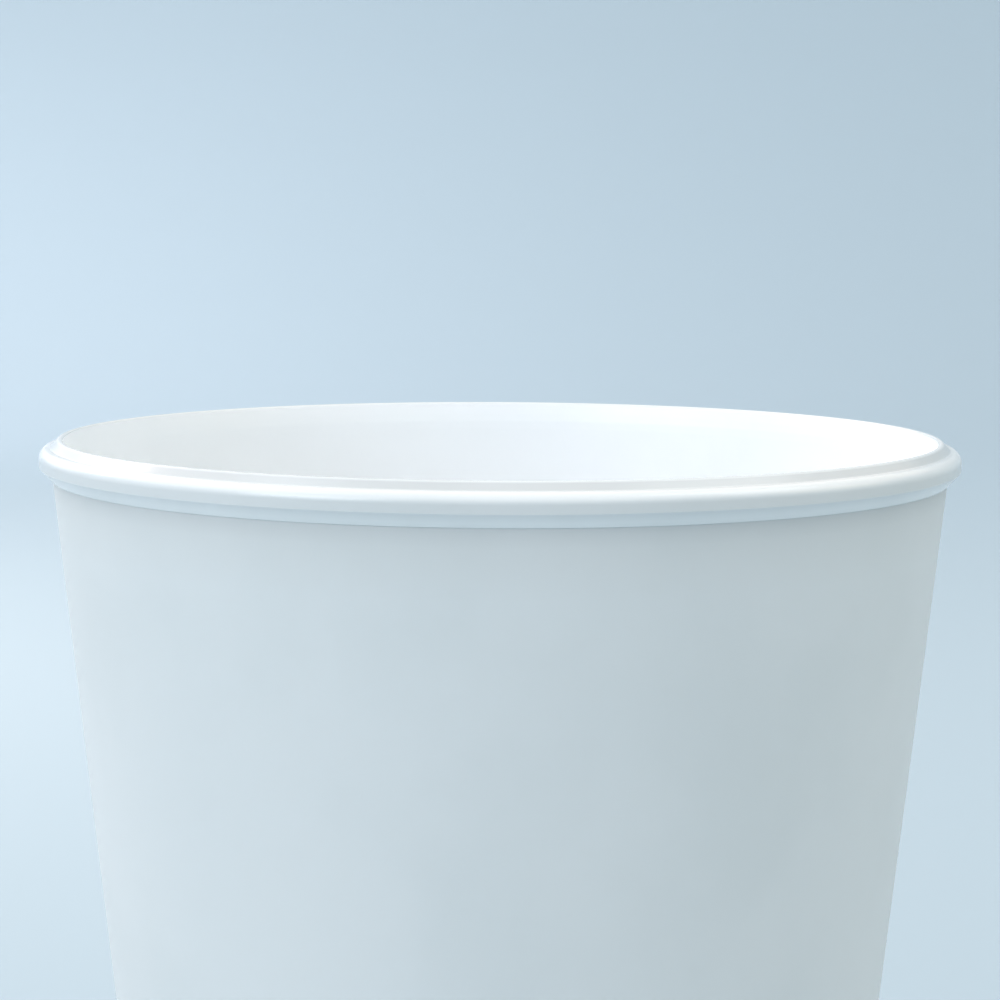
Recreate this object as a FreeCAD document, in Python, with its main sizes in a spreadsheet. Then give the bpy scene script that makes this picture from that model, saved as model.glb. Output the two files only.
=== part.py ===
import FreeCAD, Part
import Sketcher
import math
import os

# A one-piece moulded plastic coffee cup: a tapered wall on a recessed base, ribs
# in the bottom that the next cup of a stack stands on, and a rim made of a bead
# with a tapered skirt, which a snap lid grips, and a drinking lip above the bead.
# Z is up, the cup's axis is Z and the table is at Z = 0. All sizes are in mm.

doc = FreeCAD.newDocument("coffee_cup")

# ---------------------------------------------------------------- driving sizes

SIZES = (
    ("overall_height", 137.0, "table to the top of the lip"),
    ("rim_diameter", 90.0, "over the bead"),
    ("base_diameter", 60.0, "where the wall's line meets the table"),
    ("wall_thickness", 1.6, "side wall, square to its surface"),
    ("floor_thickness", 1.6, "floor of the cup"),
    ("lip_height", 0.76, "the lip stands this far above the bead"),
    ("lip_setback", 0.72, "width of the slope from the bead up to the crest of the lip"),
    ("lip_crest_width", 0.26, "level crest of the lip"),
    ("lip_bevel", 0.24, "inner edge of the crest"),
    ("lip_relief_height", 2.15, "top of the lip to where the inner wall starts to flare"),
    ("bead_radius", 1.06, "round over the top of the bead"),
    ("skirt_height", 1.22, "tapered skirt, from the bead's lower edge to its own"),
    ("skirt_taper", 1.15, "the skirt narrows by this much to its lower edge"),
    ("rim_depth", 3.76, "top of the lip to the skirt's lower edge"),
    ("skirt_step", 0.12, "the skirt stands this far out from the wall"),
    ("inside_rounding", 4.0, "inside corner between wall and floor"),
    ("recess_depth", 3.0, "table to the underside of the floor"),
    ("recess_taper", 0.3, "the recess is this much narrower at its top"),
    ("recess_bevel", 1.2, "sloping corner inside the recess"),
    ("foot_width", 2.6, "foot ring, over its bevelled edges"),
    ("foot_outer_bevel", 0.7, "outer edge of the foot"),
    ("foot_inner_bevel", 0.5, "inner edge of the foot"),
    ("gate_radius", 3.5, "dimple around the moulding gate, under the floor"),
    ("gate_depth", 0.4, "depth of the dimple"),
    ("rib_count", 6, "stacking ribs around the inside"),
    ("rib_width", 1.4, "stacking rib, around the cup"),
    ("rib_depth", 1.6, "a rib stands this far in from the wall"),
    ("rib_height", 20.0, "table to the seat on top of the ribs"),
    ("rib_rounding", 0.4, "rounded edges of a rib"),
)

sheet = doc.addObject("Spreadsheet::Sheet", "sizes")
for row, (alias, number, note) in enumerate(SIZES, start=1):
    sheet.set(f"A{row}", note)
    sheet.set(f"B{row}", str(number))
    sheet.setAlias(f"B{row}", alias)
doc.recompute()

# Sizes that follow from the driving ones, as expressions on the sheet.
RIM_RADIUS = "(sizes.rim_diameter / 2)"
BASE_RADIUS = "(sizes.base_diameter / 2)"
SKIRT_RADIUS = f"({RIM_RADIUS} - sizes.skirt_taper)"
WALL_TOP_RADIUS = f"({SKIRT_RADIUS} - sizes.skirt_step)"
WALL_TOP = "(sizes.overall_height - sizes.rim_depth)"
WALL_SLOPE = f"(({WALL_TOP_RADIUS} - {BASE_RADIUS}) / {WALL_TOP})"
WALL_ACROSS = f"(sizes.wall_thickness / cos(atan({WALL_SLOPE})))"
BEAD_TOP = "(sizes.overall_height - sizes.lip_height)"
BEAD_CENTRE = f"({BEAD_TOP} - sizes.bead_radius)"
BEAD_BOTTOM = f"({WALL_TOP} + sizes.skirt_height)"
LIP_FOOT_RADIUS = f"({RIM_RADIUS} - sizes.bead_radius)"
CREST_RADIUS = f"({LIP_FOOT_RADIUS} - sizes.lip_setback)"
CREST_INNER_RADIUS = f"({CREST_RADIUS} - sizes.lip_crest_width)"
LIP_BEVEL_RADIUS = f"({CREST_INNER_RADIUS} - sizes.lip_bevel)"
LIP_BEVEL_FOOT = "(sizes.overall_height - sizes.lip_bevel)"
RELIEF_FOOT = "(sizes.overall_height - sizes.lip_relief_height)"
FLOOR_TOP = "(sizes.recess_depth + sizes.floor_thickness)"
FLOOR_MIDDLE = "(sizes.recess_depth + sizes.floor_thickness / 2)"
FOOT_INNER_RADIUS = f"({BASE_RADIUS} - sizes.foot_width)"
RECESS_RADIUS = f"({FOOT_INNER_RADIUS} - sizes.recess_taper)"
GATE_TOP = "(sizes.recess_depth + sizes.gate_depth)"
GATE_MOUTH_RADIUS = "(sizes.gate_radius + sizes.gate_depth)"
RIB_MIDDLE = "(sizes.rib_height / 2)"


def wall_inside(height):
    """Radius of the wall's inner face at a height, as an expression."""
    return f"({BASE_RADIUS} + {WALL_SLOPE} * {height} - {WALL_ACROSS})"


def wall_middle(height):
    """Radius halfway through the wall at a height, as an expression."""
    return f"({wall_inside(height)} + {WALL_ACROSS} / 2)"


def rib_face(height):
    """Radius of a rib's inner face at a height, as an expression."""
    return f"({wall_inside(height)} - sizes.rib_depth)"


def value(expression):
    """The number that an expression on the sheet comes to."""
    result = sheet.evalExpression(expression)
    return float(getattr(result, "Value", result))


def point(radius, height):
    """The point of a section at a radius and a height, both given as expressions."""
    return (value(radius), value(height))


# ------------------------------------------------------------- sketches, edges

START, END = 1, 2
ORIGIN = (-1, 1)
TABLE_LINE, CUP_AXIS = -1, -2
FULL_TURN = 360
TOUCHING = 1e-4


class Section:
    """A sketch on the body's XZ plane: x is the radius and y the height."""

    def __init__(self, body, name):
        self.sketch = body.newObject("Sketcher::SketchObject", name)
        plane = next(item for item in body.Origin.OriginFeatures if item.Role == "XZ_Plane")
        self.sketch.AttachmentSupport = (plane, [""])
        self.sketch.MapMode = "FlatFace"

    def line(self, start, end):
        """A straight edge between two points."""
        edge = Part.LineSegment(FreeCAD.Vector(*start, 0), FreeCAD.Vector(*end, 0))
        return self.sketch.addGeometry(edge, False)

    def quarter_round(self, centre, radius):
        """A quarter of a circle, from level with its centre up to above it."""
        circle = Part.Circle(FreeCAD.Vector(*centre, 0), FreeCAD.Vector(0, 0, 1), radius)
        return self.sketch.addGeometry(Part.ArcOfCircle(circle, 0, math.pi / 2), False)

    def rule(self, kind, *where):
        """A rule without a number, such as Horizontal or Tangent."""
        self.sketch.addConstraint(Sketcher.Constraint(kind, *where))

    def close(self, edges, smooth=()):
        """Join each edge's end to the next one's start, without a corner after a smooth one."""
        for first, second in zip(edges, edges[1:] + edges[:1]):
            kind = "Tangent" if first in smooth else "Coincident"
            self.rule(kind, first, END, second, START)

    def size(self, name, by, kind, *where):
        """A rule whose number is bound to the sheet."""
        rule = Sketcher.Constraint(kind, *where, value(by))
        self.sketch.renameConstraint(self.sketch.addConstraint(rule), name)
        self.sketch.setExpression(f"Constraints.{name}", by)

    def radius_at(self, name, by, edge, end):
        """Hold one point of an edge at a distance from the axis."""
        self.size(name, by, "DistanceX", *ORIGIN, edge, end)

    def height_at(self, name, by, edge, end):
        """Hold one point of an edge at a height above the table."""
        self.size(name, by, "DistanceY", *ORIGIN, edge, end)


def finish_edges(body, kind, name, points, by):
    """A Fillet or a Chamfer on the edges of the body's tip that pass through the points."""
    doc.recompute()
    base = body.Tip
    marks = [Part.Vertex(*mark) for mark in points]
    edges = [
        f"Edge{number}"
        for number, edge in enumerate(base.Shape.Edges, start=1)
        if any(edge.distToShape(mark)[0] < TOUCHING for mark in marks)
    ]
    finish = body.newObject(f"PartDesign::{kind}", name)
    finish.Base = (base, edges)
    finish.setExpression({"Fillet": "Radius", "Chamfer": "Size"}[kind], by)


# -------------------------------------------------------------- the cup's shell

cup = doc.addObject("PartDesign::Body", "cup")
cup.Label = "cup"
cup.Placement = FreeCAD.Placement()


def shell_section():
    """Half of the cup's cross-section, drawn from under the floor round to the top of it."""
    section = Section(cup, "shell_section")
    gate_edge = point("sizes.gate_radius", GATE_TOP)
    gate_mouth = point(GATE_MOUTH_RADIUS, "sizes.recess_depth")
    recess_edge = point(RECESS_RADIUS, "sizes.recess_depth")
    foot_inner = point(FOOT_INNER_RADIUS, "0")
    foot_outer = point(BASE_RADIUS, "0")
    wall_edge = point(WALL_TOP_RADIUS, WALL_TOP)
    skirt_edge = point(SKIRT_RADIUS, WALL_TOP)
    bead_edge = point(RIM_RADIUS, BEAD_BOTTOM)
    bead_side = point(RIM_RADIUS, BEAD_CENTRE)
    bead_middle = point(LIP_FOOT_RADIUS, BEAD_CENTRE)
    lip_foot = point(LIP_FOOT_RADIUS, BEAD_TOP)
    crest_outer = point(CREST_RADIUS, "sizes.overall_height")
    crest_inner = point(CREST_INNER_RADIUS, "sizes.overall_height")
    bevel_foot = point(LIP_BEVEL_RADIUS, LIP_BEVEL_FOOT)
    relief_foot = point(wall_inside(RELIEF_FOOT), RELIEF_FOOT)
    floor_edge = point(wall_inside(FLOOR_TOP), FLOOR_TOP)
    floor_middle = (0, value(FLOOR_TOP))
    gate_middle = (0, value(GATE_TOP))

    gate = section.line(gate_middle, gate_edge)
    gate_side = section.line(gate_edge, gate_mouth)
    recess = section.line(gate_mouth, recess_edge)
    recess_side = section.line(recess_edge, foot_inner)
    foot = section.line(foot_inner, foot_outer)
    outside = section.line(foot_outer, wall_edge)
    step = section.line(wall_edge, skirt_edge)
    skirt = section.line(skirt_edge, bead_edge)
    bead_face = section.line(bead_edge, bead_side)
    bead = section.quarter_round(bead_middle, value("sizes.bead_radius"))
    lip_slope = section.line(lip_foot, crest_outer)
    crest = section.line(crest_outer, crest_inner)
    lip_bevel = section.line(crest_inner, bevel_foot)
    relief = section.line(bevel_foot, relief_foot)
    inside = section.line(relief_foot, floor_edge)
    floor = section.line(floor_edge, floor_middle)
    axis = section.line(floor_middle, gate_middle)

    edges = [
        gate, gate_side, recess, recess_side, foot, outside, step, skirt, bead_face,
        bead, lip_slope, crest, lip_bevel, relief, inside, floor, axis,
    ]
    section.close(edges, smooth=(bead_face,))
    for level in (gate, recess, foot, step, crest, floor):
        section.rule("Horizontal", level)
    for upright in (bead_face, axis):
        section.rule("Vertical", upright)
    section.rule("PointOnObject", gate, START, CUP_AXIS)
    section.rule("PointOnObject", foot, START, TABLE_LINE)
    section.rule("Parallel", inside, outside)

    section.radius_at("gate_radius", "sizes.gate_radius", gate, END)
    section.radius_at("gate_mouth_radius", GATE_MOUTH_RADIUS, recess, START)
    section.height_at("gate_top", GATE_TOP, gate, START)
    section.height_at("recess_depth", "sizes.recess_depth", recess, START)
    section.radius_at("recess_radius", RECESS_RADIUS, recess, END)
    section.radius_at("foot_inner_radius", FOOT_INNER_RADIUS, foot, START)
    section.radius_at("base_radius", BASE_RADIUS, foot, END)
    section.radius_at("wall_top_radius", WALL_TOP_RADIUS, outside, END)
    section.height_at("wall_top", WALL_TOP, outside, END)
    section.radius_at("skirt_radius", SKIRT_RADIUS, skirt, START)
    section.radius_at("rim_radius", RIM_RADIUS, skirt, END)
    section.height_at("bead_bottom", BEAD_BOTTOM, skirt, END)
    section.size("bead_radius", "sizes.bead_radius", "Radius", bead)
    section.height_at("bead_top", BEAD_TOP, bead, END)
    section.radius_at("lip_foot_radius", LIP_FOOT_RADIUS, bead, END)
    section.radius_at("crest_radius", CREST_RADIUS, crest, START)
    section.height_at("overall_height", "sizes.overall_height", crest, START)
    section.radius_at("crest_inner_radius", CREST_INNER_RADIUS, crest, END)
    section.radius_at("lip_bevel_radius", LIP_BEVEL_RADIUS, lip_bevel, END)
    section.height_at("lip_bevel_foot", LIP_BEVEL_FOOT, lip_bevel, END)
    section.height_at("relief_foot", RELIEF_FOOT, relief, END)
    section.size("wall_thickness", "sizes.wall_thickness", "Distance", inside, END, outside)
    section.height_at("floor_top", FLOOR_TOP, floor, END)
    return section.sketch


shell = cup.newObject("PartDesign::Revolution", "shell")
shell.Profile = shell_section()
shell.ReferenceAxis = (shell.Profile[0], ["V_Axis"])
shell.Angle = FULL_TURN

FINISHED_RINGS = (
    ("Fillet", "inside_corner", wall_inside(FLOOR_TOP), FLOOR_TOP, "sizes.inside_rounding"),
    ("Chamfer", "foot_outer_edge", BASE_RADIUS, "0", "sizes.foot_outer_bevel"),
    ("Chamfer", "foot_inner_edge", FOOT_INNER_RADIUS, "0", "sizes.foot_inner_bevel"),
    ("Chamfer", "recess_corner", RECESS_RADIUS, "sizes.recess_depth", "sizes.recess_bevel"),
)
for kind, name, radius, height, by in FINISHED_RINGS:
    finish_edges(cup, kind, name, [(0, value(radius), value(height))], by)

# ------------------------------------------------------------ the stacking ribs


def rib_section():
    """A rib seen from the side, its back sunk in the wall and its root in the floor."""
    section = Section(cup, "rib_section")
    corners = (
        ("root_front", rib_face(FLOOR_MIDDLE), FLOOR_MIDDLE),
        ("root_back", wall_middle(FLOOR_MIDDLE), FLOOR_MIDDLE),
        ("seat_back", wall_middle("sizes.rib_height"), "sizes.rib_height"),
        ("seat_front", rib_face("sizes.rib_height"), "sizes.rib_height"),
    )
    points = [point(radius, height) for name, radius, height in corners]
    edges = [section.line(*ends) for ends in zip(points, points[1:] + points[:1])]
    section.close(edges)
    for edge, (name, radius, height) in zip(edges, corners):
        section.radius_at(f"{name}_radius", radius, edge, START)
        section.height_at(f"{name}_height", height, edge, START)
    return section.sketch


rib = cup.newObject("PartDesign::Pad", "rib")
rib.Profile = rib_section()
rib.SideType = "Symmetric"
rib.setExpression("Length", "sizes.rib_width")
doc.recompute()

ribs = cup.newObject("PartDesign::PolarPattern", "ribs")
ribs.Originals = [rib]
ribs.Axis = (rib.Profile[0], ["V_Axis"])
ribs.Angle = FULL_TURN
ribs.setExpression("Occurrences", "sizes.rib_count")
cup.Tip = ribs


def on_every_rib(radius, sideways, height):
    """The same point of every rib, given where it lies on the rib along +X."""
    count = round(value("sizes.rib_count"))
    turns = [2 * math.pi * number / count for number in range(count)]
    return [
        (
            radius * math.cos(turn) - sideways * math.sin(turn),
            radius * math.sin(turn) + sideways * math.cos(turn),
            height,
        )
        for turn in turns
    ]


half_width = value("sizes.rib_width / 2")
face_middle = point(rib_face(RIB_MIDDLE), RIB_MIDDLE)
seat_front = point(rib_face("sizes.rib_height"), "sizes.rib_height")
rib_edge_points = (
    on_every_rib(face_middle[0], half_width, face_middle[1])
    + on_every_rib(face_middle[0], -half_width, face_middle[1])
    + on_every_rib(seat_front[0], 0, seat_front[1])
)
finish_edges(cup, "Fillet", "rib_edges", rib_edge_points, "sizes.rib_rounding")

# --------------------------------------------------------------- check, export

doc.recompute()
for item in doc.Objects:
    if {"Invalid", "Error"} & set(item.State):
        raise RuntimeError(f"{item.Name} did not build: {item.State}")
if cup.Shape.isNull() or not cup.Shape.isValid():
    raise RuntimeError("the cup is not a valid solid")

os.makedirs("parts", exist_ok=True)
cup.Shape.exportStep(f"parts/{cup.Label}.step")
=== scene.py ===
import math

import bmesh
import bpy
from mathutils import Matrix, Vector


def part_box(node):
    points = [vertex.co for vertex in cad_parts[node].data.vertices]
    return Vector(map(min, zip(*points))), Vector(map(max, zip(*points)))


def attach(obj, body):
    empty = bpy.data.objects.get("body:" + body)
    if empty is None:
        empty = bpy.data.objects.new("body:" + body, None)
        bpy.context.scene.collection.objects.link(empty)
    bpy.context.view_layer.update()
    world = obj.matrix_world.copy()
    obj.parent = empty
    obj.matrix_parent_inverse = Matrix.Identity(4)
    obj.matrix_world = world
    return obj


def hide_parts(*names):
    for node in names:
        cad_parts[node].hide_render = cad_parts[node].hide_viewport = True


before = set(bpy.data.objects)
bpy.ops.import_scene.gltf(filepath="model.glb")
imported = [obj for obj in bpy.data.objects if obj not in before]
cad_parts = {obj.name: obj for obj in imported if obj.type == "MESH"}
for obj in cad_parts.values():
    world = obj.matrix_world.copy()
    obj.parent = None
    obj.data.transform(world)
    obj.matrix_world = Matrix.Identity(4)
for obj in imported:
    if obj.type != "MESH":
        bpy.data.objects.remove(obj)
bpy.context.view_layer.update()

# --------------------------------------------------------------------------- cup
# The cup is one injection moulding of white polypropylene: floor, foot, wall, rim
# and stacking ribs in one. The steel for it is turned, so the cup's half section is
# drawn first and swept round the axis, and the ribs are joined to it.

MM = 0.001
low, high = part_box("cup")
rim_radius = min(high.x, -low.x, high.y, -low.y)
height = high.z
base_radius = 30.0 * MM
wall_across = 1.609 * MM
floor_top = 4.6 * MM
floor_under = 3.0 * MM
gate_radius = 3.5 * MM
gate_depth = 0.4 * MM
recess_radius = 27.1 * MM
foot_inner_radius = 27.4 * MM
wall_top = height - 3.76 * MM
wall_top_radius = rim_radius - 1.27 * MM
skirt_radius = rim_radius - 1.15 * MM
bead_bottom = wall_top + 1.22 * MM
bead_top = height - 0.76 * MM
lip_foot_radius = rim_radius - 1.06 * MM
lip_crest_outer = rim_radius - 1.80 * MM
lip_crest_inner = rim_radius - 2.22 * MM
relief_foot = height - 2.15 * MM


def inner_radius(z):
    """Radius of the wall's inner face at a height."""
    return base_radius + (wall_top_radius - base_radius) * z / wall_top - wall_across


# From the gate under the floor, round the foot, up the wall, over the rim and down
# inside: each corner's distance from the axis, its height and its rounding radius.
corners = (
    (0.0, floor_under + gate_depth, 0.0),
    (gate_radius, floor_under + gate_depth, 0.15 * MM),
    (gate_radius + gate_depth, floor_under, 0.2 * MM),
    (recess_radius, floor_under, 1.4 * MM),
    (foot_inner_radius, 0.0, 0.55 * MM),
    (base_radius, 0.0, 0.9 * MM),
    (wall_top_radius, wall_top, 0.03 * MM),
    (skirt_radius, wall_top, 0.05 * MM),
    (rim_radius, bead_bottom, 0.12 * MM),
    (rim_radius, bead_top, 0.99 * MM),
    (lip_foot_radius, bead_top, 0.12 * MM),
    (lip_crest_outer, height, 0.32 * MM),
    (lip_crest_inner, height, 0.32 * MM),
    (inner_radius(relief_foot), relief_foot, 14.0 * MM),
    (inner_radius(floor_top), floor_top, 4.0 * MM),
    (0.0, floor_top, 0.0),
)


def rounded_outline(corners, turn_step, hold, row):
    """The outline's points: an arc at each corner, and rows along the straights.

    An arc turns by turn_step at most from point to point. A long straight has a point
    at the distance hold from each of its ends, and others about a row apart.
    """
    points = [Vector(corners[0][:2])]
    for before, corner, after in zip(corners, corners[1:], corners[2:]):
        here = Vector(corner[:2])
        back = (Vector(before[:2]) - here).normalized()
        ahead = (Vector(after[:2]) - here).normalized()
        turn = math.pi - back.angle(ahead)
        reach = corner[2] * math.tan(turn / 2)
        centre = here + (back + ahead).normalized() * math.hypot(corner[2], reach)
        first, last = here + back * reach - centre, here + ahead * reach - centre
        steps = max(2, math.ceil(turn / turn_step))
        for step in range(steps + 1):
            share = step / steps
            weights = math.sin((1 - share) * turn), math.sin(share * turn)
            arm = (first * weights[0] + last * weights[1]) / math.sin(turn)
            points.append(centre + arm)
    points.append(Vector(corners[-1][:2]))
    outline = points[:1]
    for end in points[1:]:
        start = outline[-1]
        length = (end - start).length
        if length > 4 * hold:
            along = (end - start) / length
            rows = max(1, round(length / row))
            places = [hold, *(length * step / rows for step in range(1, rows)), length - hold]
            outline += [start + along * place for place in places]
        outline.append(end)
    return outline


outline = rounded_outline(corners, turn_step=math.radians(9), hold=0.12 * MM, row=8.0 * MM)
section_mesh = bpy.data.meshes.new("cup_section")
section_mesh.from_pydata(
    [(r - rim_radius, -z, 0.0) for r, z in outline],
    [(step, step + 1) for step in range(len(outline) - 1)],
    [],
)
section = bpy.data.objects.new("cup_section", section_mesh)
bpy.context.scene.collection.objects.link(section)

# Six short ribs stand up from the floor against the wall, and the next cup of a
# stack sits on them. One is made here, on the +X side, with softened edges; the
# cup's node tree repeats it round the axis and joins it to the wall and floor.

rib_count = 6
rib_width = 1.4 * MM
rib_depth = 1.6 * MM
rib_seat = 20.0 * MM
rib_softening = 0.4 * MM
rib_root = (floor_under + floor_top) / 2

rib_builder = bmesh.new()
rib_rows = []
for z in (rib_root, rib_seat):
    face = inner_radius(z) - rib_depth
    back = inner_radius(z) + wall_across / 2
    ring = [(face, -1), (back, -1), (back, 1), (face, 1)]
    rib_rows.append([rib_builder.verts.new((r, side * rib_width / 2, z)) for r, side in ring])
root_row, seat_row = rib_rows
rib_builder.faces.new(root_row[::-1])
rib_builder.faces.new(seat_row)
for step in range(4):
    following = (step + 1) % 4
    rib_builder.faces.new(
        (root_row[step], root_row[following], seat_row[following], seat_row[step])
    )
soft_pairs = (
    (root_row[0], seat_row[0]),
    (root_row[3], seat_row[3]),
    (seat_row[3], seat_row[0]),
    (seat_row[0], seat_row[1]),
    (seat_row[2], seat_row[3]),
)
bmesh.ops.bevel(
    rib_builder,
    geom=[rib_builder.edges.get(pair) for pair in soft_pairs],
    offset=rib_softening,
    segments=5,
    profile=0.5,
    affect="EDGES",
)
bmesh.ops.recalc_face_normals(rib_builder, faces=rib_builder.faces)
rib_mesh = bpy.data.meshes.new("stacking_rib")
rib_builder.to_mesh(rib_mesh)
rib_builder.free()
rib = bpy.data.objects.new("stacking_rib", rib_mesh)
bpy.context.scene.collection.objects.link(rib)

# The cup's node tree turns the outline into a curve, runs it round a circle of the
# rim's size, closes the two poles on the axis, joins the ribs to the wall and floor,
# and gives the whole cup its material.

cup_tree = bpy.data.node_groups.new("moulded_cup", "GeometryNodeTree")
cup_tree.interface.new_socket("Section", in_out="INPUT", socket_type="NodeSocketGeometry")
for name, kind in (
    ("Rim Radius", "NodeSocketFloat"),
    ("Steps Round", "NodeSocketInt"),
    ("Closing Distance", "NodeSocketFloat"),
    ("Rib", "NodeSocketObject"),
    ("Rib Count", "NodeSocketInt"),
    ("Finish", "NodeSocketMaterial"),
):
    cup_tree.interface.new_socket(name, in_out="INPUT", socket_type=kind)
cup_tree.interface.new_socket("Cup", in_out="OUTPUT", socket_type="NodeSocketGeometry")


def add_node(tree, kind, place, **settings):
    """Add a node to a tree, at its place in the drawing and with its settings."""
    node = tree.nodes.new(kind)
    node.location = place
    for name, setting in settings.items():
        setattr(node, name, setting)
    return node


def join(tree, *pairs):
    """Link outputs to inputs, given as (node, output, node, input)."""
    for source, output, target, entry in pairs:
        tree.links.new(source.outputs[output], target.inputs[entry])


given = add_node(cup_tree, "NodeGroupInput", (-900, 0))
profile = add_node(cup_tree, "GeometryNodeMeshToCurve", (-650, 120))
circle = add_node(cup_tree, "GeometryNodeCurvePrimitiveCircle", (-650, -60), mode="RADIUS")
sweep = add_node(cup_tree, "GeometryNodeCurveToMesh", (-430, 60))
close = add_node(cup_tree, "GeometryNodeMergeByDistance", (-220, 60))
one_rib = add_node(cup_tree, "GeometryNodeObjectInfo", (-650, -320))
axis_points = add_node(cup_tree, "GeometryNodeMeshLine", (-650, -540))
rib_turn = add_node(cup_tree, "ShaderNodeMath", (-650, -760), operation="DIVIDE")
rib_index = add_node(cup_tree, "GeometryNodeInputIndex", (-650, -900))
rib_angle = add_node(cup_tree, "ShaderNodeMath", (-430, -760), operation="MULTIPLY")
rib_spin = add_node(cup_tree, "ShaderNodeCombineXYZ", (-430, -600))
ribs = add_node(cup_tree, "GeometryNodeInstanceOnPoints", (-220, -360))
loose_ribs = add_node(cup_tree, "GeometryNodeRealizeInstances", (-20, -360))
union = add_node(
    cup_tree, "GeometryNodeMeshBoolean", (180, 40), operation="UNION", solver="EXACT"
)
whole = add_node(cup_tree, "GeometryNodeRealizeInstances", (380, 40))
finish = add_node(cup_tree, "GeometryNodeSetMaterial", (580, 40))
result = add_node(cup_tree, "NodeGroupOutput", (780, 40))
rib_turn.inputs[0].default_value = math.tau
axis_points.inputs["Offset"].default_value = (0.0, 0.0, 0.0)
join(
    cup_tree,
    (given, "Section", profile, "Mesh"),
    (given, "Rim Radius", circle, "Radius"),
    (given, "Steps Round", circle, "Resolution"),
    (circle, "Curve", sweep, "Curve"),
    (profile, "Curve", sweep, "Profile Curve"),
    (sweep, "Mesh", close, "Geometry"),
    (given, "Closing Distance", close, "Distance"),
    (given, "Rib", one_rib, "Object"),
    (given, "Rib Count", axis_points, "Count"),
    (given, "Rib Count", rib_turn, 1),
    (rib_index, "Index", rib_angle, 0),
    (rib_turn, "Value", rib_angle, 1),
    (rib_angle, "Value", rib_spin, "Z"),
    (axis_points, "Mesh", ribs, "Points"),
    (one_rib, "Geometry", ribs, "Instance"),
    (rib_spin, "Vector", ribs, "Rotation"),
    (ribs, "Instances", loose_ribs, "Geometry"),
    (close, "Geometry", union, 1),
    (loose_ribs, "Geometry", union, 1),
    (union, "Mesh", whole, "Geometry"),
    (whole, "Geometry", finish, "Geometry"),
    (given, "Finish", finish, "Material"),
    (finish, "Geometry", result, "Cup"),
)

# The plastic is pigmented white. The steel was polished for the inside and the rim,
# and spark-eroded to a fine grain for the outer wall.

moulded_grain = bpy.data.node_groups.new("moulded_grain", "ShaderNodeTree")
for name, kind, setting in (
    ("Place", "NodeSocketVector", None),
    ("Grain Size", "NodeSocketFloat", 0.25 * MM),
    ("Ripple Size", "NodeSocketFloat", 9.0 * MM),
    ("Ripple Share", "NodeSocketFloat", 0.4),
):
    socket = moulded_grain.interface.new_socket(name, in_out="INPUT", socket_type=kind)
    if setting is not None:
        socket.default_value = setting
moulded_grain.interface.new_socket("Height", in_out="OUTPUT", socket_type="NodeSocketFloat")
given = add_node(moulded_grain, "NodeGroupInput", (-800, 0))
grain_scale = add_node(moulded_grain, "ShaderNodeMath", (-600, -120), operation="DIVIDE")
ripple_scale = add_node(moulded_grain, "ShaderNodeMath", (-600, -300), operation="DIVIDE")
grain = add_node(moulded_grain, "ShaderNodeTexNoise", (-400, 60), noise_dimensions="3D")
ripple = add_node(moulded_grain, "ShaderNodeTexNoise", (-400, -220), noise_dimensions="3D")
blend = add_node(moulded_grain, "ShaderNodeMix", (-180, 0), data_type="FLOAT")
result = add_node(moulded_grain, "NodeGroupOutput", (20, 0))
grain_scale.inputs[0].default_value = 1.0
ripple_scale.inputs[0].default_value = 1.0
grain.inputs["Detail"].default_value = 2.0
grain.inputs["Roughness"].default_value = 0.6
ripple.inputs["Detail"].default_value = 1.0
join(
    moulded_grain,
    (given, "Place", grain, "Vector"),
    (given, "Place", ripple, "Vector"),
    (given, "Grain Size", grain_scale, 1),
    (given, "Ripple Size", ripple_scale, 1),
    (grain_scale, "Value", grain, "Scale"),
    (ripple_scale, "Value", ripple, "Scale"),
    (given, "Ripple Share", blend, "Factor"),
    (grain, "Fac", blend, "A"),
    (ripple, "Fac", blend, "B"),
    (blend, "Result", result, "Height"),
)

# Handling leaves soft rubbed patches, with a few fine slanting scratches in them.

rub_marks = bpy.data.node_groups.new("rub_marks", "ShaderNodeTree")
rub_marks.interface.new_socket("Place", in_out="INPUT", socket_type="NodeSocketVector")
for name, setting in (("Patch Size", 22.0 * MM), ("Scratch Spacing", 1.6 * MM)):
    socket = rub_marks.interface.new_socket(name, in_out="INPUT", socket_type="NodeSocketFloat")
    socket.default_value = setting
for name in ("Smudge", "Scratch"):
    rub_marks.interface.new_socket(name, in_out="OUTPUT", socket_type="NodeSocketFloat")
given = add_node(rub_marks, "NodeGroupInput", (-1000, 0))
patch_scale = add_node(rub_marks, "ShaderNodeMath", (-800, 160), operation="DIVIDE")
scratch_scale = add_node(rub_marks, "ShaderNodeMath", (-800, -240), operation="DIVIDE")
patches = add_node(rub_marks, "ShaderNodeTexNoise", (-600, 160), noise_dimensions="3D")
patch_ramp = add_node(rub_marks, "ShaderNodeMapRange", (-400, 160), interpolation_type="SMOOTHSTEP")
slant = add_node(rub_marks, "ShaderNodeMapping", (-800, -60), vector_type="TEXTURE")
cells = add_node(rub_marks, "ShaderNodeTexVoronoi", (-600, -120), feature="DISTANCE_TO_EDGE")
line = add_node(rub_marks, "ShaderNodeMapRange", (-400, -120), interpolation_type="SMOOTHSTEP")
sparse = add_node(rub_marks, "ShaderNodeMath", (-200, -60), operation="MULTIPLY")
result = add_node(rub_marks, "NodeGroupOutput", (0, 0))
patch_scale.inputs[0].default_value = 1.0
scratch_scale.inputs[0].default_value = 1.0
patches.inputs["Detail"].default_value = 3.0
patch_ramp.inputs["From Min"].default_value = 0.42
patch_ramp.inputs["From Max"].default_value = 0.68
slant.inputs["Rotation"].default_value = (0.3, 0.5, 0.2)
slant.inputs["Scale"].default_value = (1.0, 1.0, 7.0)
line.inputs["From Min"].default_value = 0.0
line.inputs["From Max"].default_value = 0.02
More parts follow.
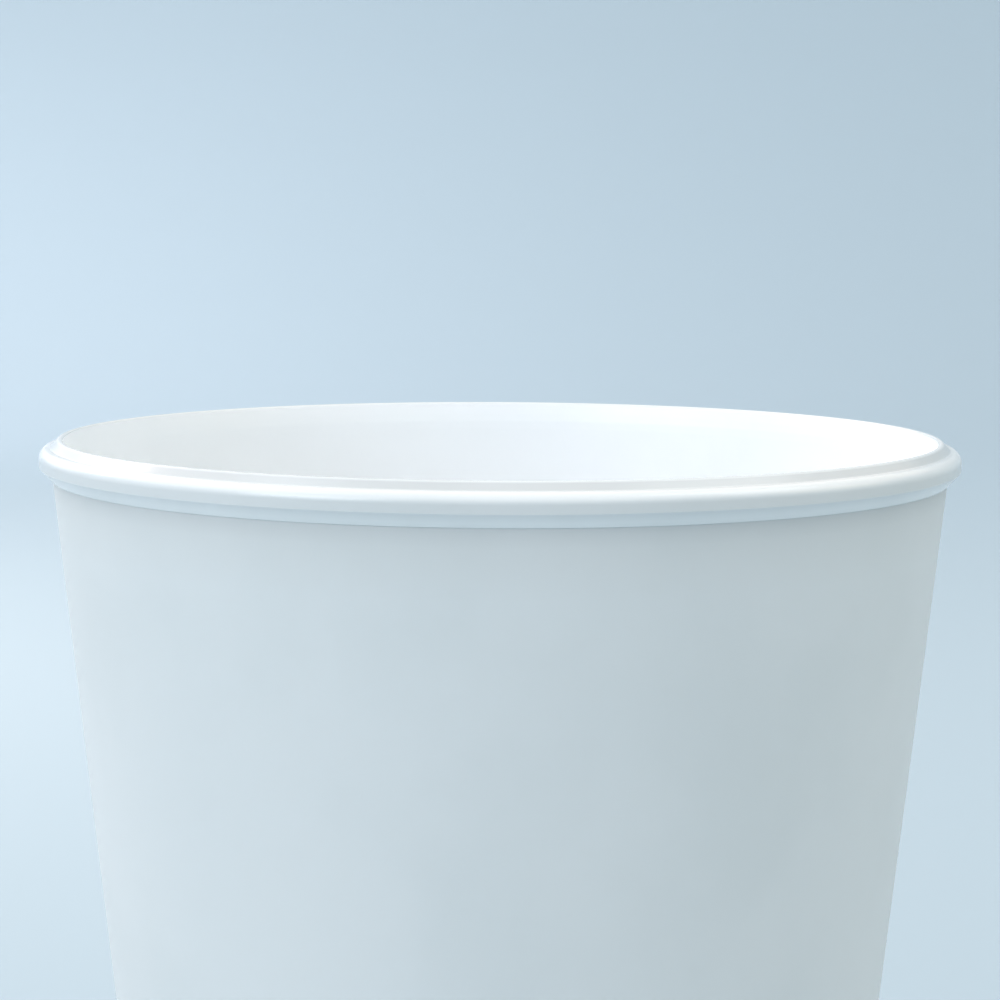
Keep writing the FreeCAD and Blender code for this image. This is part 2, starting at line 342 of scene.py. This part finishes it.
line.inputs["To Min"].default_value = 1.0
line.inputs["To Max"].default_value = 0.0
join(
    rub_marks,
    (given, "Place", patches, "Vector"),
    (given, "Place", slant, "Vector"),
    (given, "Patch Size", patch_scale, 1),
    (given, "Scratch Spacing", scratch_scale, 1),
    (patch_scale, "Value", patches, "Scale"),
    (scratch_scale, "Value", cells, "Scale"),
    (slant, "Vector", cells, "Vector"),
    (patches, "Fac", patch_ramp, "Value"),
    (cells, "Distance", line, "Value"),
    (line, "Result", sparse, 0),
    (patch_ramp, "Result", sparse, 1),
    (patch_ramp, "Result", result, "Smudge"),
    (sparse, "Value", result, "Scratch"),
)

# The outside's whites are given by their depth below the lip's crest. They differ,
# and inner_white too, to stand in for shading that the lights don't give: the
# plastic itself is one white, and the foot is dulled by wear.

wall_roughness = 0.46
rim_roughness = 0.17
inner_roughness = 0.32
foot_wear = 0.14
foot_wear_height = 1.6 * MM
rub_wear = 0.04
polished_grain = 0.06
skirt_edge_blend = 0.05 * MM
wall_middle_blend = 0.1 * MM
crest_fade_starts = 0.3 * MM
crest_fade_ends = 0.06 * MM
inner_share_at_crest = 0.4
scratch_height_share = -0.35
inner_white = (0.945, 0.972, 0.994)
rubbed_white = (0.97, 0.975, 0.975)
whites_reach = 10.0 * MM
outer_whites = (
    (10.0 * MM, (0.785, 0.80, 0.80)),
    (5.5 * MM, (0.76, 0.77, 0.765)),
    (3.8 * MM, (0.71, 0.715, 0.71)),
    (3.72 * MM, (0.945, 0.945, 0.935)),
    (3.3 * MM, (0.94, 0.935, 0.925)),
    (2.58 * MM, (0.845, 0.85, 0.845)),
    (2.46 * MM, (0.745, 0.76, 0.76)),
    (1.8 * MM, (0.745, 0.76, 0.76)),
    (1.28 * MM, (0.85, 0.87, 0.88)),
    (0.83 * MM, (0.85, 0.87, 0.88)),
    (0.64 * MM, (0.70, 0.72, 0.73)),
)
polypropylene = bpy.data.materials.new("white_polypropylene")
polypropylene.use_nodes = True
plastic = polypropylene.node_tree
plastic.nodes.clear()
place = add_node(plastic, "ShaderNodeTexCoord", (-1300, 0))
split = add_node(plastic, "ShaderNodeSeparateXYZ", (-1100, 300))
rim_mask = add_node(plastic, "ShaderNodeMapRange", (-900, 420), interpolation_type="SMOOTHSTEP")
foot_mask = add_node(plastic, "ShaderNodeMapRange", (-900, 160), interpolation_type="SMOOTHSTEP")
grain = add_node(plastic, "ShaderNodeGroup", (-900, -120), node_tree=moulded_grain)
marks = add_node(plastic, "ShaderNodeGroup", (-900, -400), node_tree=rub_marks)
gloss = add_node(plastic, "ShaderNodeMix", (-640, 360), data_type="FLOAT")
inner_gloss = add_node(plastic, "ShaderNodeMix", (-550, 340), data_type="FLOAT")
foot_dull = add_node(plastic, "ShaderNodeMath", (-460, 300), operation="MULTIPLY_ADD")
smudge_dull = add_node(plastic, "ShaderNodeMath", (-280, 240), operation="MULTIPLY_ADD")
from_axis = add_node(plastic, "ShaderNodeVectorMath", (-1100, 760), operation="MULTIPLY")
radius = add_node(plastic, "ShaderNodeVectorMath", (-900, 860), operation="LENGTH")
wall_middle = add_node(plastic, "ShaderNodeMath", (-900, 680), operation="MULTIPLY_ADD")
past_middle = add_node(plastic, "ShaderNodeMath", (-720, 760), operation="SUBTRACT")
inside = add_node(plastic, "ShaderNodeMapRange", (-540, 860), interpolation_type="SMOOTHSTEP")
crest = add_node(plastic, "ShaderNodeMapRange", (-540, 560), interpolation_type="SMOOTHSTEP")
inner_share = add_node(plastic, "ShaderNodeMath", (-380, 600), operation="MULTIPLY")
way_up = add_node(plastic, "ShaderNodeMapRange", (-720, 1160))
outer_white = add_node(plastic, "ShaderNodeValToRGB", (-540, 1160))
side_white = add_node(plastic, "ShaderNodeMix", (-240, 760), data_type="RGBA")
tint = add_node(plastic, "ShaderNodeMix", (-140, 600), data_type="RGBA", blend_type="MULTIPLY")
polish = add_node(plastic, "ShaderNodeMath", (-760, 40), operation="MAXIMUM")
grain_depth = add_node(plastic, "ShaderNodeMix", (-640, -60), data_type="FLOAT")
grain_height = add_node(plastic, "ShaderNodeMath", (-460, -120), operation="MULTIPLY")
scratch_height = add_node(plastic, "ShaderNodeMath", (-280, -240), operation="MULTIPLY_ADD")
relief = add_node(plastic, "ShaderNodeBump", (-100, -160))
shader = add_node(plastic, "ShaderNodeBsdfPrincipled", (120, 200))
output = add_node(plastic, "ShaderNodeOutputMaterial", (420, 200))
rim_mask.inputs["From Min"].default_value = wall_top - skirt_edge_blend
rim_mask.inputs["From Max"].default_value = wall_top + skirt_edge_blend
foot_mask.inputs["From Min"].default_value = 0.0
foot_mask.inputs["From Max"].default_value = foot_wear_height
foot_mask.inputs["To Min"].default_value = 1.0
foot_mask.inputs["To Max"].default_value = 0.0
gloss.inputs["A"].default_value = wall_roughness
gloss.inputs["B"].default_value = rim_roughness
inner_gloss.inputs["B"].default_value = inner_roughness
foot_dull.inputs[1].default_value = foot_wear
smudge_dull.inputs[1].default_value = rub_wear
from_axis.inputs[1].default_value = (1.0, 1.0, 0.0)
wall_middle.inputs[1].default_value = (wall_top_radius - base_radius) / wall_top
wall_middle.inputs[2].default_value = base_radius - wall_across / 2
inside.inputs["From Min"].default_value = -wall_middle_blend
inside.inputs["From Max"].default_value = wall_middle_blend
inside.inputs["To Min"].default_value = 1.0
inside.inputs["To Max"].default_value = 0.0
way_up.inputs["From Min"].default_value = height - whites_reach
way_up.inputs["From Max"].default_value = height
whites = outer_white.color_ramp.elements
whites.remove(whites[1])
whites[0].color = (*outer_whites[0][1], 1.0)
for below, white in outer_whites[1:]:
    whites.new(1 - below / whites_reach).color = (*white, 1.0)
crest.inputs["From Min"].default_value = height - crest_fade_starts
crest.inputs["From Max"].default_value = height - crest_fade_ends
crest.inputs["To Min"].default_value = 1.0
crest.inputs["To Max"].default_value = inner_share_at_crest
side_white.inputs["B"].default_value = (*inner_white, 1.0)
tint.inputs["B"].default_value = (*rubbed_white, 1.0)
grain_depth.inputs["A"].default_value = 1.0
grain_depth.inputs["B"].default_value = polished_grain
scratch_height.inputs[1].default_value = scratch_height_share
relief.inputs["Strength"].default_value = 0.25
relief.inputs["Distance"].default_value = 0.02 * MM
shader.inputs["IOR"].default_value = 1.49
join(
    plastic,
    (place, "Object", split, "Vector"),
    (place, "Object", grain, "Place"),
    (place, "Object", marks, "Place"),
    (split, "Z", rim_mask, "Value"),
    (split, "Z", foot_mask, "Value"),
    (rim_mask, "Result", gloss, "Factor"),
    (foot_mask, "Result", foot_dull, 0),
    (inner_share, "Value", inner_gloss, "Factor"),
    (gloss, "Result", inner_gloss, "A"),
    (inner_gloss, "Result", foot_dull, 2),
    (marks, "Smudge", smudge_dull, 0),
    (foot_dull, "Value", smudge_dull, 2),
    (smudge_dull, "Value", shader, "Roughness"),
    (place, "Object", from_axis, 0),
    (from_axis, "Vector", radius, 0),
    (split, "Z", wall_middle, 0),
    (radius, "Value", past_middle, 0),
    (wall_middle, "Value", past_middle, 1),
    (past_middle, "Value", inside, "Value"),
    (split, "Z", crest, "Value"),
    (inside, "Result", inner_share, 0),
    (crest, "Result", inner_share, 1),
    (inner_share, "Value", side_white, "Factor"),
    (split, "Z", way_up, "Value"),
    (way_up, "Result", outer_white, "Fac"),
    (outer_white, "Color", side_white, "A"),
    (side_white, "Result", tint, "A"),
    (marks, "Smudge", tint, "Factor"),
    (tint, "Result", shader, "Base Color"),
    (rim_mask, "Result", polish, 0),
    (inner_share, "Value", polish, 1),
    (polish, "Value", grain_depth, "Factor"),
    (grain, "Height", grain_height, 0),
    (grain_depth, "Result", grain_height, 1),
    (marks, "Scratch", scratch_height, 0),
    (grain_height, "Value", scratch_height, 2),
    (scratch_height, "Value", relief, "Height"),
    (relief, "Normal", shader, "Normal"),
    (shader, "BSDF", output, "Surface"),
)

# The node tree's result becomes one plain closed mesh that stands for the CAD cup.
# Its shading is smooth, and only an edge that turns more than crisp_turn stays crisp.

crisp_turn = math.radians(32)
sizes_of_cup = {
    "Rim Radius": rim_radius,
    "Steps Round": 288,
    "Closing Distance": 0.001 * MM,
    "Rib": rib,
    "Rib Count": rib_count,
    "Finish": polypropylene,
}
moulding = section.modifiers.new("moulded_cup", "NODES")
moulding.node_group = cup_tree
for item in cup_tree.interface.items_tree:
    if item.in_out == "INPUT" and item.name in sizes_of_cup:
        moulding[item.identifier] = sizes_of_cup[item.name]
depsgraph = bpy.context.evaluated_depsgraph_get()
cup_mesh = bpy.data.meshes.new_from_object(section.evaluated_get(depsgraph))
cup_mesh.name = "moulded_cup"
section.modifiers.remove(moulding)
cup_mesh.shade_smooth()
cup_mesh.set_sharp_from_angle(angle=crisp_turn)
cup = bpy.data.objects.new("moulded_cup", cup_mesh)
bpy.context.scene.collection.objects.link(cup)
for draft in (section, rib):
    bpy.data.objects.remove(draft)
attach(cup, "root")
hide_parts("cup")

# ------------------------------------------------------------------ floor, sweep
# A pale blue paper sweep: flat under the cup and curved up into a low wall all
# round, so that it has no horizon line from any side. It isn't part of the cup.

flat_radius = 1.5
curve_radius = 1.2
curve_steps = 12
wall_height = 1.25
sweep_steps = 160
closing_distance = 0.01 * MM
paper_blue = (0.46, 0.555, 0.62)
sweep_profile = [(ring, 0.0) for ring in (0.0, 0.15, 0.5, flat_radius)]
for step in range(1, curve_steps + 1):
    turn = math.radians(90 * step / curve_steps)
    sweep_profile.append(
        (
            flat_radius + curve_radius * math.sin(turn),
            curve_radius * (1 - math.cos(turn)),
        )
    )
sweep_profile.append((flat_radius + curve_radius, wall_height))
sweep_builder = bmesh.new()
sweep_edges = []
sweep_points = [sweep_builder.verts.new((r, 0.0, z)) for r, z in sweep_profile]
for inner, outer in zip(sweep_points, sweep_points[1:]):
    sweep_edges.append(sweep_builder.edges.new((inner, outer)))
bmesh.ops.spin(
    sweep_builder,
    geom=sweep_edges,
    axis=(0, 0, 1),
    cent=(0, 0, 0),
    angle=math.tau,
    steps=sweep_steps,
    use_merge=True,
)
bmesh.ops.remove_doubles(sweep_builder, verts=sweep_builder.verts, dist=closing_distance)
bmesh.ops.recalc_face_normals(sweep_builder, faces=sweep_builder.faces)
if sum(face.normal.z for face in sweep_builder.faces) < 0:
    bmesh.ops.reverse_faces(sweep_builder, faces=sweep_builder.faces)
sweep_mesh = bpy.data.meshes.new("paper_sweep")
sweep_builder.to_mesh(sweep_mesh)
sweep_builder.free()
sweep_mesh.shade_smooth()
paper_sweep = bpy.data.objects.new("paper_sweep", sweep_mesh)
bpy.context.scene.collection.objects.link(paper_sweep)

paper = bpy.data.materials.new("pale_blue_paper")
paper.use_nodes = True
paper_shader = paper.node_tree.nodes["Principled BSDF"]
paper_shader.inputs["Base Color"].default_value = (*paper_blue, 1.0)
paper_shader.inputs["Roughness"].default_value = 0.9
sweep_mesh.materials.append(paper)

# ------------------------------------------------------------------------ light
# Soft boxes hang round the cup. The big ones at the front left and high on the right
# shade the wall from left to right and light the inside, three weaker ones fill from
# the sides and behind, and two small ones light the paper behind the cup.

cup_middle = (0.0, 0.0, 0.1)
# name, place, width and depth, watts, colour, what it points at, spread in degrees
soft_boxes = (
    ("front_left", (-1.7, -1.5, 1.1), (1.4, 1.2), 15.9, (0.966, 0.972, 1.0), cup_middle, 180),
    ("high_right", (2.2, 0.0, 3.3), (2.0, 2.0), 19.2, (1.0, 0.99, 0.95), cup_middle, 180),
    ("near_left", (-1.15, -0.2, 1.7), (0.9, 0.9), 3.3, (0.86, 0.92, 1.0), cup_middle, 180),
    ("back_left", (-1.29, 1.71, 0.88), (1.4, 1.3), 4.2, (1.0, 0.94, 0.96), cup_middle, 180),
    ("low_right", (2.3, 0.0, 1.2), (1.4, 1.2), 3.8, (1.0, 0.8, 0.38), cup_middle, 180),
    ("backdrop", (-0.5, 1.5, 0.9), (0.6, 0.3), 3.4, (1.0, 0.9, 0.92), (-0.35, 2.0, 0.0), 180),
    ("floor", (-0.95, 0.75, 0.75), (0.35, 0.35), 1.33, (1.0, 0.84, 0.77), (-0.33, 0.5, 0.0), 74),
)
for name, spot, (width, depth), power, colour, aim, spread in soft_boxes:
    light = bpy.data.lights.new(name + "_box", "AREA")
    light.shape = "RECTANGLE"
    light.size, light.size_y = width, depth
    light.energy = power
    light.color = colour
    light.spread = math.radians(spread)
    box = bpy.data.objects.new(name + "_box", light)
    box.location = spot
    facing = Vector(aim) - box.location
    box.rotation_euler = facing.to_track_quat("-Z", "Y").to_euler()
    box.visible_camera = False
    bpy.context.scene.collection.objects.link(box)

sky = bpy.data.worlds.new("studio_air")
sky.use_nodes = True
air = sky.node_tree.nodes["Background"]
air.inputs["Color"].default_value = (1.0, 0.986, 0.97, 1.0)
air.inputs["Strength"].default_value = 0.994
bpy.context.scene.world = sky
bpy.context.scene.view_settings.view_transform = "Standard"
bpy.context.scene.view_settings.gamma = 0.8

# ----------------------------------------------------------------------- camera
# The camera stands in front of the cup, 2 cm above the rim, and looks down a
# little, so the foot is out of view and the far side of the rim shows.

camera_distance = 230.0 * MM
camera_above_lip = 20.28 * MM
camera_looks_down = math.radians(6.66)
camera_roll = math.radians(0.296)
lens = bpy.data.cameras.new("front_camera")
lens.sensor_width = 36.0
lens.lens = 83.7
camera = bpy.data.objects.new("front_camera", lens)
camera.matrix_world = (
    Matrix.Translation((0.0, -camera_distance, height + camera_above_lip))
    @ Matrix.Rotation(math.radians(90) - camera_looks_down, 4, "X")
    @ Matrix.Rotation(camera_roll, 4, "Z")
)
bpy.context.scene.collection.objects.link(camera)
bpy.context.scene.camera = camera
